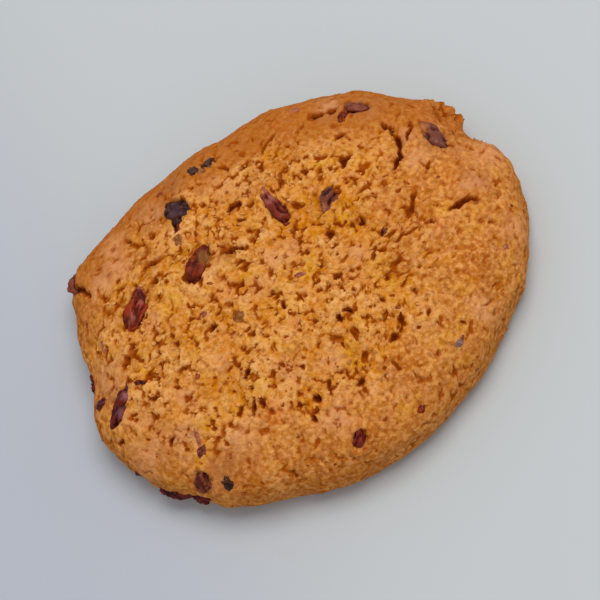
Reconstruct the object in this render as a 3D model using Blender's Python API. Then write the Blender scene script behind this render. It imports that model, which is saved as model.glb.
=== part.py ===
"""Raisin shortbread cookie.

One baked piece of short dough, oval, domed and flat below, with raisins set in its top and its edge.
Metres, +Z up: the flat underside lies on z = 0, the long axis runs along X, and the origin is under
the middle of the whole. A place on the dough is a direction, in degrees anticlockwise from +X seen
from above, and a way, from 0 at the middle of the top to 1 at the edge of the flat underside.
"""

import math

import bmesh
import bpy
from mathutils import Matrix, Vector, noise

# The dough's oval, before its lobes
OVAL_LENGTH = 0.0694
OVAL_WIDTH = 0.0554

# The dough's section: a domed top with a round shoulder, widest low down, then rolled in to a flat base
HEIGHT = 0.0150
GIRTH_HEIGHT = 0.0044
TOP_WAY = 0.80
SHOULDER_POWER = 2.45
BASE_SHARE = 0.935

# Where the outline leaves the oval: direction and half width in degrees, then the height
OUTLINE_LOBES = {
    "broken corner standing out": (21, 5, 0.0010),
    "corner pushed out by a raisin": (143, 10, 0.0021),
    "flat left end": (169, 9, -0.0019),
    "full left end": (-175, 7, 0.0006),
    "full lower left": (-150, 26, 0.0014),
    "dent in the lower left": (-151, 6, -0.0006),
    "full near side": (-100, 20, 0.0010),
    "flat lower right": (-44, 18, -0.0006),
    "notch beside the broken corner": (11, 6, -0.0013),
    "flat far side": (86, 24, -0.0011),
}

# The broken corner: a shallow hollow where crumb has come off the edge
CHIP_DIRECTION = 19
CHIP_WAY = 0.70
CHIP_RADIUS = 0.0042
CHIP_DEPTH = 0.0009

# Soft lumps left by the spoon and by the rising dough, fading out towards the base
LUMP_SIZE = 0.0060
LUMP_HEIGHT = 0.0006
LUMP_FADE = 0.0030

# The mesh: a ball's meridians and rings, the last few of which make the flat base
DOUGH_MERIDIANS = 88
DOUGH_RINGS = 28
FLAT_BASE_FROM = 0.86

# Raisins: direction, way, length, width, thickness, heading of the long axis, and how far its middle
# stands above the dough's surface
RAISINS = {
    "raisin_large": (159, 0.385, 0.0066, 0.0045, 0.0036, 38, -0.0008),
    "raisin_brown": (143, 0.20, 0.0076, 0.0040, 0.0032, 37, -0.0009),
    "raisin_glossy": (71, 0.185, 0.0080, 0.0029, 0.0028, 96, -0.0008),
    "raisin_left_end": (-176, 0.51, 0.0080, 0.0028, 0.0030, 31, -0.0008),
    "raisin_slanted": (12, 0.52, 0.0082, 0.0041, 0.0032, 94, -0.0011),
    "raisin_black": (116, 0.40, 0.0048, 0.0038, 0.0030, 150, -0.0007),
    "raisin_purple": (28, 0.18, 0.0047, 0.0031, 0.0028, 39, -0.0009),
    "raisin_far_edge": (38, 0.51, 0.0048, 0.0034, 0.0030, -24, -0.0009),
    "raisin_near_edge": (-100, 0.575, 0.0032, 0.0024, 0.0026, 43, -0.0008),
    "raisin_lower_left": (-146, 0.66, 0.0042, 0.0034, 0.0030, 45, -0.0008),
    "raisin_corner": (144, 0.73, 0.0042, 0.0032, 0.0034, 60, -0.0008),
}
POCKET_GAP = 0.0003
RAISIN_MERIDIANS = 14
RAISIN_RINGS = 8
WRINKLES = 3
WRINKLE_DEPTH = 0.08

DOUGH_COLOUR = (0.50, 0.19, 0.05, 1.0)
RAISIN_COLOUR = (0.075, 0.020, 0.024, 1.0)


def outline_radius(angle):
    """The dough's radius at its girth in one direction, given in radians."""
    radius = 1 / math.hypot(math.cos(angle) / (OVAL_LENGTH / 2), math.sin(angle) / (OVAL_WIDTH / 2))
    for direction, spread, height in OUTLINE_LOBES.values():
        away = (math.degrees(angle) - direction + 180) % 360 - 180
        radius += height * math.exp(-((away / spread) ** 2))
    return radius


def section(way):
    """The radius, as a share of the girth's, and the height at one way across the dough's section."""
    if way < TOP_WAY:
        share = math.sin(math.pi / 2 * way / TOP_WAY)
        rise = (1 - share**SHOULDER_POWER) ** (1 / SHOULDER_POWER)
        return share, GIRTH_HEIGHT + rise * (HEIGHT - GIRTH_HEIGHT)
    turn = math.pi / 2 * min(1, (way - TOP_WAY) / (1 - TOP_WAY))
    return BASE_SHARE + (1 - BASE_SHARE) * math.cos(turn), GIRTH_HEIGHT * (1 - math.sin(turn))


def smooth_point(angle, way):
    """A point of the dough's surface before its lumps."""
    share, height = section(way)
    radius = share * outline_radius(angle)
    return Vector((radius * math.cos(angle), radius * math.sin(angle), height))


def surface(angle, way):
    """The point and the outward normal of the dough's lumpy surface at one place."""
    step = 0.01
    point = smooth_point(angle, way)
    outward = smooth_point(angle, way + step) - smooth_point(angle, max(0, way - step))
    around = smooth_point(angle + step, max(step, way)) - smooth_point(angle - step, max(step, way))
    normal = outward.cross(around).normalized()
    chip_middle = smooth_point(math.radians(CHIP_DIRECTION), CHIP_WAY)
    chip = CHIP_DEPTH * math.exp(-(((point - chip_middle).length / CHIP_RADIUS) ** 2))
    lump = LUMP_HEIGHT * noise.noise(point / LUMP_SIZE) * min(1, point.z / LUMP_FADE)
    return point + normal * (lump - chip), normal


def material(name, colour, roughness):
    """A plain finish for one kind of piece."""
    finish = bpy.data.materials.new(name)
    finish.use_nodes = True
    shader = finish.node_tree.nodes["Principled BSDF"]
    shader.inputs["Base Color"].default_value = colour
    shader.inputs["Roughness"].default_value = roughness
    finish.diffuse_color = colour
    return finish


def add_object(name, shape, finish, parent):
    """Puts a finished bmesh in the scene as a named object."""
    mesh = bpy.data.meshes.new(name)
    shape.to_mesh(mesh)
    shape.free()
    mesh.shade_smooth()
    mesh.materials.append(finish)
    piece = bpy.data.objects.new(name, mesh)
    piece.parent = parent
    bpy.context.scene.collection.objects.link(piece)
    return piece


def make_dough(finish, parent):
    """The baked dough: a ball's mesh laid over the section and the outline."""
    shape = bmesh.new()
    bmesh.ops.create_uvsphere(shape, u_segments=DOUGH_MERIDIANS, v_segments=DOUGH_RINGS, radius=1)
    for vertex in shape.verts:
        angle = math.atan2(vertex.co.y, vertex.co.x)
        fall = math.acos(max(-1, min(1, vertex.co.z))) / math.pi
        if fall < FLAT_BASE_FROM:
            vertex.co = surface(angle, fall / FLAT_BASE_FROM)[0]
        else:
            base_edge = smooth_point(angle, 1)
            vertex.co = base_edge * (1 - fall) / (1 - FLAT_BASE_FROM)
            vertex.co.z = 0
    return add_object("shortbread", shape, finish, parent)


def raisin_shape(length, width, thickness, grow):
    """A wrinkled raisin about its own middle, long axis along X, swollen all round by grow."""
    shape = bmesh.new()
    bmesh.ops.create_uvsphere(shape, u_segments=RAISIN_MERIDIANS, v_segments=RAISIN_RINGS, radius=1)
    for vertex in shape.verts:
        around = math.atan2(vertex.co.y, vertex.co.x)
        wrinkle = 1 + WRINKLE_DEPTH * math.cos(WRINKLES * around) * math.hypot(vertex.co.x, vertex.co.y)
        vertex.co = Vector(
            (
                vertex.co.z * (length / 2 + grow),
                vertex.co.x * (width / 2 * wrinkle + grow),
                vertex.co.y * (thickness / 2 * wrinkle + grow),
            )
        )
    return shape


def raisin_place(direction, way, heading, stand):
    """The turn and the place of a raisin that lies along the dough's surface."""
    point, normal = surface(math.radians(direction), way)
    turn = math.radians(heading)
    along = Vector((math.cos(turn), math.sin(turn), 0))
    along = (along - normal * along.dot(normal)).normalized()
    axes = Matrix((along, normal.cross(along), normal)).transposed()
    return Matrix.Translation(point + normal * stand) @ axes.to_4x4()


def set_raisin(name, sizes, dough, finish, parent):
    """One raisin, and the pocket that it sits in."""
    direction, way, length, width, thickness, heading, stand = sizes
    place = raisin_place(direction, way, heading, stand)
    raisin = add_object(name, raisin_shape(length, width, thickness, 0), finish, parent)
    raisin.matrix_local = place
    cutter = add_object(name + "_pocket", raisin_shape(length, width, thickness, POCKET_GAP), finish, parent)
    cutter.matrix_local = place
    cutter.hide_render = True
    cutter.display_type = "WIRE"
    cut = dough.modifiers.new(name + "_pocket", "BOOLEAN")
    cut.operation = "DIFFERENCE"
    cut.solver = "EXACT"
    cut.object = cutter


def middle_below(piece):
    """The point of z = 0 under the middle of a piece's box, before its parent has moved."""
    xs = [vertex.co.x for vertex in piece.data.vertices]
    ys = [vertex.co.y for vertex in piece.data.vertices]
    return Vector(((min(xs) + max(xs)) / 2, (min(ys) + max(ys)) / 2, 0))


for old in list(bpy.data.objects):
    bpy.data.objects.remove(old, do_unlink=True)

cookie = bpy.data.objects.new("cookie", None)
bpy.context.scene.collection.objects.link(cookie)
dough_finish = material("baked dough", DOUGH_COLOUR, 0.85)
raisin_finish = material("raisin skin", RAISIN_COLOUR, 0.35)

shortbread = make_dough(dough_finish, cookie)
for raisin_name, raisin_sizes in RAISINS.items():
    set_raisin(raisin_name, raisin_sizes, shortbread, raisin_finish, cookie)
cookie.location = -middle_below(shortbread)
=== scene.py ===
"""Raisin shortbread cookie: the looks of the baked dough and its fruit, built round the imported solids."""

import math
import random

import bmesh
import bpy
import numpy as np
from mathutils import Matrix, Vector, kdtree, noise
from mathutils.bvhtree import BVHTree


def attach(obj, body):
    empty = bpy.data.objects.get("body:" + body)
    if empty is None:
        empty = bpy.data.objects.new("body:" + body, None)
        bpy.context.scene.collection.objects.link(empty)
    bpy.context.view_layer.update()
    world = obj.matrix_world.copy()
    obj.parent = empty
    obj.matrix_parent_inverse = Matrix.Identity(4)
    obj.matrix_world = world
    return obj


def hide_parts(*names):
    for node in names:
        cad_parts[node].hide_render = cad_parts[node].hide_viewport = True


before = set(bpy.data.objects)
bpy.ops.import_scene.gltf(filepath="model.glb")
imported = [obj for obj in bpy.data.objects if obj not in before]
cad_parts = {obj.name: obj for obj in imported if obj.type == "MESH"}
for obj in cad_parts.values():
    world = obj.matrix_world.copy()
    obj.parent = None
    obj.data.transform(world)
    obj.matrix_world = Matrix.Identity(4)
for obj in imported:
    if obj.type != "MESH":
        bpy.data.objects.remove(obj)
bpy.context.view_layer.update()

# ---------------------------------------------------------------------------------------------
# The raisins. Whole dried grapes, stirred into the dough before baking. Each lies in its own place
# in the frame; here it gets the deep lengthwise folds and the dull, sticky shine of a dried skin.

MM = 0.001
RAISIN_ROUNDNESS = 5
RAISIN_PLUMPNESS = 1.03
RAISIN_UNEVENNESS = 0.28
FOLD_SPACING = 1.30 * MM
FOLD_DEPTH = 0.55 * MM
FOLD_STRETCH = 0.45
FOLD_STEEPNESS = 2.6
FOLD_WANDER = 0.5
FOLD_WANDER_SIZE = 2.2 * MM
FOLD_SHARE = 0.75
CREASE_SPACING = 0.45 * MM
CREASE_DEPTH = 0.10 * MM
CREASE_STEEPNESS = 2.5

# Keeps every wrinkle the same from run to run
WRINKLE_SEED = 5
noise.seed_set(WRINKLE_SEED)

# The kinds of skin, as the eye reads them: in the folds, darker partly as painted shade; on the ridges; and
# where dusty or thin, with painted sheen
RAISIN_SKINS = {
    "dark": ((50, 4, 2), (100, 26, 16), (148, 92, 98)),
    "wine": ((88, 14, 2), (120, 40, 28), (146, 80, 78)),
    "red": ((76, 12, 0), (144, 46, 8), (178, 98, 80)),
    "brown": ((76, 12, 0), (130, 42, 0), (140, 92, 42)),
    "glossy": ((60, 6, 0), (120, 40, 22), (172, 102, 88)),
    "black": ((40, 14, 4), (66, 34, 28), (88, 62, 70)),
    "dusty": ((84, 28, 10), (130, 64, 42), (160, 102, 82)),
    "faded": ((70, 22, 10), (116, 60, 46), (186, 112, 58)),
    "burnt": ((44, 18, 10), (84, 48, 32), (124, 84, 58)),
    "grey": ((122, 84, 72), (152, 118, 108), (182, 148, 136)),
    "lilac": ((136, 68, 46), (176, 100, 78), (198, 128, 108)),
    "tan": ((124, 68, 22), (156, 96, 42), (184, 132, 78)),
    "speck": ((120, 50, 12), (158, 78, 28), (186, 108, 56)),
}

# Where a raisin's skin is dusty or thin, with painted sheen on it too, in millimetres: place, then reach
RAISIN_BLOOMS_AND_SHEEN = (
    ((-21.9, 8.0, 12.7), 1.6),
    ((-18.3, 11.2, 13.5), 1.5),
    ((-19.7, 9.2, 13.4), 1.0),
    ((-8.6, 9.2, 14.7), 2.4),
    ((3.3, 12.9, 14.4), 1.2),
    ((3.4, 11.2, 14.6), 1.5),
    ((8.9, 5.6, 14.8), 1.3),
    ((-28.2, -0.9, 12.0), 1.7),
    ((-30.4, -2.1, 10.8), 1.5),
    ((-8.6, 18.4, 13.0), 2.2),
    ((22.6, 16.4, 11.4), 0.9),
    ((27.2, 9.0, 11.8), 2.2),
)

# The kind of skin that each raisin has
RAISIN_KINDS = {
    "raisin_large": "red",
    "raisin_brown": "brown",
    "raisin_glossy": "glossy",
    "raisin_left_end": "dark",
    "raisin_slanted": "faded",
    "raisin_black": "black",
    "raisin_purple": "faded",
    "raisin_far_edge": "dusty",
    "raisin_near_edge": "wine",
    "raisin_lower_left": "dusty",
    "raisin_corner": "dusty",
}


def eye_colour(red, green, blue):
    """A colour as the eye reads it, 0 to 255 for each part, as a shader takes it."""
    parts = [part / 255 for part in (red, green, blue)]
    return [part / 12.92 if part < 0.04045 else ((part + 0.055) / 1.055) ** 2.4 for part in parts] + [1.0]


def ease(value, low, high):
    """0 below low, 1 above high, and a soft rise between."""
    share = max(0.0, min(1.0, (value - low) / (high - low)))
    return share * share * (3 - 2 * share)


class Value:
    """One socket of a finish; sums and products on it add Math nodes."""

    def __init__(self, finish, socket):
        self.finish = finish
        self.socket = socket

    def reckon(self, operation, first, second):
        return self.finish.add("ShaderNodeMath", {"operation": operation}, {0: first, 1: second})

    def __add__(self, other):
        return self.reckon("ADD", self, other)

    __radd__ = __add__

    def __sub__(self, other):
        return self.reckon("SUBTRACT", self, other)

    def __rsub__(self, other):
        return self.reckon("SUBTRACT", other, self)

    def __mul__(self, other):
        return self.reckon("MULTIPLY", self, other)

    __rmul__ = __mul__


class Finish:
    """A material as it is mixed: add() puts in any node, and the rest are the mixtures used most."""

    def __init__(self, name):
        self.material = bpy.data.materials.new(name)
        self.material.use_nodes = True
        self.tree = self.material.node_tree
        self.shader = self.tree.nodes["Principled BSDF"]
        self.place = self.add("ShaderNodeTexCoord", {}, {}, "Object")

    def add(self, kind, settings, inputs, output=0):
        """A new node with its settings, then its sockets' values or links; gives one of its outputs."""
        node = self.tree.nodes.new(kind)
        for name, setting in settings.items():
            setattr(node, name, setting)
        for name, value in inputs.items():
            self.feed(node, name, value)
        return Value(self, node.outputs[output])

    def feed(self, node, name, value):
        """Links a value to a node's socket, or sets it there."""
        if isinstance(value, Value):
            self.tree.links.new(value.socket, node.inputs[name])
        else:
            node.inputs[name].default_value = value

    def grain(self, size, detail=2.0, contrast=0.5):
        """A mottle of one size, in metres, from 0 to 1."""
        inputs = {"Vector": self.place, "Scale": 1 / size, "Detail": detail, "Roughness": contrast}
        return self.add("ShaderNodeTexNoise", {}, inputs, "Fac")

    def cells(self, size, feature="F1", output="Distance"):
        """Packed cells of one size, in metres: how far the nearest middle is, or each one's own colour."""
        inputs = {"Vector": self.place, "Scale": 1 / size}
        return self.add("ShaderNodeTexVoronoi", {"feature": feature}, inputs, output)

    def rise(self, value, low, high):
        """0 where a value is under low, 1 where it is over high."""
        inputs = {"Value": value, "From Min": low, "From Max": high}
        return self.add("ShaderNodeMapRange", {"interpolation_type": "SMOOTHSTEP"}, inputs)

    def across(self):
        """How far a place lies towards -X, in metres."""
        return -1 * self.add("ShaderNodeSeparateXYZ", {}, {0: self.place})

    def mark(self, name):
        """A value that the mesh carries on its vertices."""
        return self.add("ShaderNodeAttribute", {"attribute_name": name}, {}, "Fac")

    def blend(self, share, first, second):
        """The first colour, turning to the second as share goes from 0 to 1."""
        inputs = {"Factor": share, 6: first, 7: second}
        return self.add("ShaderNodeMix", {"data_type": "RGBA"}, inputs, 2)

    def relief(self, height, depth, strength=1.0):
        """Fine relief of a depth in metres, given to the shader's normal."""
        inputs = {"Height": height, "Distance": depth, "Strength": strength}
        self.feed(self.shader, "Normal", self.add("ShaderNodeBump", {}, inputs))

    def paint(self, socket, value):
        """Gives a value to one of the shader's own sockets."""
        self.feed(self.shader, socket, value)


def raisin_skin(kind):
    """The finish of one kind of raisin."""
    fold, skin, thin_and_sheen = (eye_colour(*shade) for shade in RAISIN_SKINS[kind])
    finish = Finish("raisin_skin_" + kind)
    height = finish.mark("height")
    blotch = finish.rise(finish.grain(1.1 * MM, 3.0), 0.35, 0.65)
    # Painted shade: the skin is darker low in the folds, with a random blotch
    colour = finish.blend(finish.rise(height + 0.5 * blotch, 0.35, 1.15), fold, skin)
    # Real bloom and painted sheen: paler at the listed places, at random and on the ridges
    bloom_and_sheen = finish.mark("bloom_and_sheen") + 0.6 * finish.grain(0.7 * MM) + 0.3 * height
    colour = finish.blend(finish.rise(bloom_and_sheen, 0.60, 1.65) * 0.9, colour, thin_and_sheen)
    finish.paint("Base Color", colour)
    finish.paint("Roughness", 0.20 + 0.34 * finish.rise(finish.grain(0.6 * MM), 0.38, 0.62))
    finish.paint("Specular IOR Level", 0.15)
    finish.relief(finish.grain(0.22 * MM, 3.0), 0.05 * MM, 0.6)
    return finish.material


def add_marks(mesh, name, values):
    """Stores one value for each vertex of a mesh, for its finish to read."""
    mesh.attributes.new(name, "FLOAT", "POINT").data.foreach_set("value", values)


def new_piece(name, shape, finish):
    """A finished bmesh as a smooth piece of the cookie."""
    mesh = bpy.data.meshes.new(name)
    shape.to_mesh(mesh)
    shape.free()
    mesh.shade_smooth()
    mesh.materials.append(finish)
    piece = bpy.data.objects.new(name, mesh)
    bpy.context.scene.collection.objects.link(piece)
    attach(piece, "root")
    return piece


def lie_of(node):
    """How a raisin's solid lies: its middle, its axes with the longest first, and their half lengths."""
    points = np.array([vertex.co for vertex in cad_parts[node].data.vertices])
    middle = (points.min(0) + points.max(0)) / 2
    axes = np.linalg.eigh(np.cov((points - middle).T))[1].T[::-1]
    reach = (points - middle) @ axes.T
    middle = middle + ((reach.max(0) + reach.min(0)) / 2) @ axes
    half = (reach.max(0) - reach.min(0)) / 2
    return Vector(middle), [Vector(axis) for axis in axes], half


def wrinkled_raisin(node):
    """A folded raisin in a node's place, and how high each point stands in folds that only it has."""
    middle, axes, half = lie_of(node)
    shape = bmesh.new()
    bmesh.ops.create_icosphere(shape, subdivisions=RAISIN_ROUNDNESS, radius=1)
    heights = []
    for vertex in shape.verts:
        around = vertex.co.copy()
        plump = RAISIN_PLUMPNESS + RAISIN_UNEVENNESS * noise.noise(around * 1.2 + middle * 300)
        inside = Vector([share * size * plump for share, size in zip(around, half)])
        drawn = Vector((inside.x * FOLD_STRETCH, inside.y, inside.z)) / FOLD_SPACING + middle * 900
        drawn += noise.noise_vector(inside / FOLD_WANDER_SIZE + middle * 500) * FOLD_WANDER
        fold = min(1, abs(noise.noise(drawn)) * FOLD_STEEPNESS)
        crease = min(1, abs(noise.noise(inside / CREASE_SPACING + middle * 700)) * CREASE_STEEPNESS)
        sunk = (1 - fold) * FOLD_DEPTH + (1 - crease) * CREASE_DEPTH
        outward = Vector([share / size for share, size in zip(around, half)]).normalized()
        inside -= outward * sunk
        vertex.co = middle + axes[0] * inside.x + axes[1] * inside.y + axes[2] * inside.z
        heights.append(FOLD_SHARE * fold + (1 - FOLD_SHARE) * crease)
    if axes[0].cross(axes[1]).dot(axes[2]) < 0:
        bmesh.ops.reverse_faces(shape, faces=shape.faces)
    return shape, heights


def bloom_and_sheen_share(point):
    """How far the skin is dusty or thin, with painted sheen, at a place."""
    shares = []
    for place, reach in RAISIN_BLOOMS_AND_SHEEN:
        shares.append(1 - ease((point - Vector(place) * MM).length, 0, reach * MM))
    return max(shares)


raisin_finishes = {kind: raisin_skin(kind) for kind in RAISIN_SKINS}
for raisin_node, raisin_kind in RAISIN_KINDS.items():
    raisin_shape, raisin_heights = wrinkled_raisin(raisin_node)
    raisin_name = raisin_node.removeprefix("raisin_") + "_raisin"
    raisin = new_piece(raisin_name, raisin_shape, raisin_finishes[raisin_kind])
    add_marks(raisin.data, "height", raisin_heights)
    add_marks(raisin.data, "bloom_and_sheen", [bloom_and_sheen_share(vertex.co) for vertex in raisin.data.vertices])
    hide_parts(raisin_node)

# ---------------------------------------------------------------------------------------------
# The dough. One piece of short dough, dropped on a tray and baked: a domed top, a round shoulder and
# a flat base. Its middle has cracked into a fine open crumb, while the skin of the edge stayed whole.

# The oval and the section: a domed top with a round shoulder, widest low down, rolled in to the base
OVAL_LENGTH = 69.4 * MM
OVAL_WIDTH = 55.4 * MM
HEIGHT = 15.0 * MM
GIRTH_HEIGHT = 4.4 * MM
TOP_WAY = 0.80
SHOULDER_POWER = 2.45
BASE_SHARE = 0.935

# Where the outline leaves the oval: direction and half width in degrees, then the height
OUTLINE_LOBES = (
    (21, 5, 1.0 * MM),
    (143, 10, 2.1 * MM),
    (169, 9, -1.9 * MM),
    (-175, 7, 0.6 * MM),
    (-150, 26, 1.4 * MM),
    (-151, 6, -0.6 * MM),
    (-100, 20, 1.0 * MM),
    (-44, 18, -0.6 * MM),
    (11, 6, -1.3 * MM),
    (86, 24, -1.1 * MM),
)

# The hollow of the broken corner, and the soft lumps of the rising dough, which fade towards the base
CHIP_DIRECTION = 19
CHIP_WAY = 0.70
CHIP_RADIUS = 4.2 * MM
CHIP_DEPTH = 0.9 * MM
LUMP_SIZE = 6.0 * MM
LUMP_HEIGHT = 0.6 * MM
LUMP_FADE = 3.0 * MM

# The net: squares along one side of the top, then the base's rings by share of its edge and points,
# and how far the plain base shows each of the finish's marks
TOP_SQUARES = 300
SECTION_STEPS = 400
BASE_RINGS = ((0.97, 300), (0.80, 96), (0.40, 48))
BASE_MARK = 0.5

# The open crumb of the middle: an oval field with a wandering border, and patches where the skin held
CRUMB_MIDDLE = (-4.4 * MM, 0.8 * MM)
CRUMB_REACH = (27.0 * MM, 22.0 * MM)
CRUMB_BORDER = (0.70, 1.15)
BORDER_WANDER = 0.16
BORDER_WANDER_SIZE = 4.5 * MM
RIM_SHARE = 0.36
NEAR_SIDE_DIRECTION = -60
NEAR_SIDE_SMOOTHER = 0.2
SKIN_PATCHES = (
    (-14.4, -18.7, 6.5),
    (-20.4, 17.4, 5.0),
    (-2.9, 19.4, 2.6),
    (23.6, -8.7, 6.0),
    (9.6, -19.7, 5.0),
)

# How cracks and pits are cut: the spacing of a crack's points in millimetres, its thin ends, how far
# each reaches in widths of its own, the size of its ragged bits, and how far it strays from its place
CRACK_SPACING = 0.15
CRACK_END_SHARE = 0.45
CRACK_TAPER = 0.9
CRACK_REACH = 1.8
CRACK_NICK_SIZE = 0.7 * MM
CRACK_BAY_SIZE = 1.6 * MM
PIT_REACH = 2.2
PIT_RAG_SIZE = 0.6 * MM
STRAY = 0.40 * MM
STRAY_SIZE = 1.1 * MM
FINE_STRAY = 0.14 * MM
FINE_STRAY_SIZE = 0.45 * MM
PIT_STRAY = 1.2
TINT_STRAY = 2

# Cracks seen from above, in millimetres: width, depth, then the points that each runs through
CRACKS = (
    (0.60, 1.5, (22.7, 13.1), (23.1, 11.4), (23.2, 9.4), (22.8, 7.8), (21.9, 6.6), (21.2, 6.0), (20.2, 5.6)),
    (0.50, 1.0, (26.1, 11.2), (25.9, 10.0), (24.3, 8.5)),
    (0.42, 0.8, (25.6, 4.0), (24.2, 2.6), (23.5, 2.2)),
    (0.60, 1.1, (23.5, -4.1), (24.9, -4.2), (26.2, -3.9), (27.3, -3.9), (28.0, -4.7)),
    (0.60, 0.8, (21.0, 0.5), (19.8, -0.8), (18.6, -2.0)),
    (0.42, 0.7, (18.9, -4.1), (17.2, -4.1), (14.7, -4.4)),
    (0.55, 0.7, (27.2, -7.9), (28.2, -8.9)),
    (0.55, 1.1, (-6.3, 8.4), (-4.7, 7.7), (-3.1, 7.1)),
    (0.60, 1.1, (-2.7, 14.0), (-1.1, 14.0), (-0.2, 13.5)),
    (0.36, 0.6, (-4.8, 15.4), (-6.0, 15.0)),
    (0.50, 0.8, (-8.5, 4.8), (-7.6, 4.6)),
    (0.70, 1.0, (-16.1, 14.0), (-15.3, 13.1)),
    (0.60, 0.7, (-9.5, 16.8), (-10.2, 15.6)),
    (0.75, 1.7, (18.8, 19.3), (17.4, 19.4), (15.8, 19.8), (14.4, 20.0)),
    (0.40, 0.7, (13.4, 19.7), (12.4, 19.1)),
    (0.50, 1.0, (9.1, 20.8), (7.4, 20.3), (6.2, 19.4)),
    (0.75, 1.1, (16.6, 10.7), (15.2, 10.6), (14.6, 9.5)),
    (0.50, 0.8, (3.7, 19.1), (2.9, 18.6), (1.8, 17.7)),
    (0.36, 0.6, (9.9, 15.2), (8.0, 14.3), (6.7, 13.9), (5.9, 11.9)),
    (0.50, 0.6, (12.0, 13.8), (12.8, 12.7), (13.9, 12.5)),
    (0.45, 0.7, (14.0, 4.8), (15.2, 4.7), (16.1, 4.8)),
    (0.50, 0.6, (10.1, 10.3), (11.8, 10.0)),
    (0.42, 0.6, (20.4, 19.6), (19.0, 17.9), (17.7, 16.5)),
    (0.50, 0.8, (6.5, 13.3), (5.5, 12.1)),
    (0.80, 0.8, (0.1, 7.8), (-0.7, 7.6), (-1.5, 6.9)),
    (0.50, 0.7, (6.4, 4.4), (7.3, 4.0), (8.2, 3.5)),
    (0.42, 0.6, (11.9, 7.9), (11.9, 6.7)),
    (0.50, 0.7, (8.2, -0.0), (7.0, -0.4)),
    (0.50, 0.7, (6.6, -4.9), (7.5, -6.0)),
    (0.50, 0.9, (1.8, -4.6), (2.8, -4.8)),
    (0.60, 0.7, (-5.0, 1.3), (-4.2, 0.2)),
    (0.60, 0.9, (11.5, -7.5), (10.8, -8.7)),
    (0.50, 0.8, (-2.1, -6.6), (-2.7, -7.8)),
    (0.60, 1.1, (-23.3, -1.3), (-23.7, -2.8)),
    (0.50, 0.7, (-20.6, -2.5), (-18.9, -3.1)),
    (0.50, 0.8, (-26.3, -3.4), (-24.4, -4.2)),
    (0.55, 0.7, (-27.4, 7.5), (-28.6, 6.2)),
    (0.50, 0.7, (-23.1, -9.8), (-24.0, -10.8)),
    (0.50, 0.8, (10.2, -13.2), (9.4, -14.6), (8.3, -15.8)),
    (0.80, 0.9, (8.3, -16.0), (6.5, -15.9)),
    (0.44, 0.7, (13.7, -17.2), (14.1, -18.3)),
    (0.42, 0.6, (12.2, -22.4), (12.1, -23.3), (11.9, -24.3)),
    (0.50, 0.7, (5.2, -18.6), (5.5, -20.1), (6.3, -20.1)),
    (0.40, 0.6, (7.0, -21.1), (7.1, -22.2)),
    (0.85, 1.1, (-11.6, -8.3), (-12.9, -9.7)),
    (0.60, 1.1, (-13.4, -12.7), (-14.3, -13.4), (-14.6, -14.5)),
    (0.60, 0.9, (-9.2, -16.7), (-7.9, -16.9)),
    (0.45, 0.7, (-10.0, -11.8), (-9.4, -11.7)),
    (0.42, 0.6, (-11.8, -19.8), (-11.0, -19.6)),
    (0.65, 0.8, (-3.1, -16.0), (-4.0, -16.7), (-4.1, -17.8)),
    (0.55, 0.7, (-1.8, -15.7), (-0.5, -16.1)),
    (0.50, 0.6, (-0.3, -11.5), (1.6, -12.4)),
    (0.34, 0.5, (-3.1, -25.7), (-2.5, -25.8)),
    (0.70, 1.1, (-27.3, 19.8), (-26.3, 17.5), (-25.6, 15.5)),
)

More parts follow.
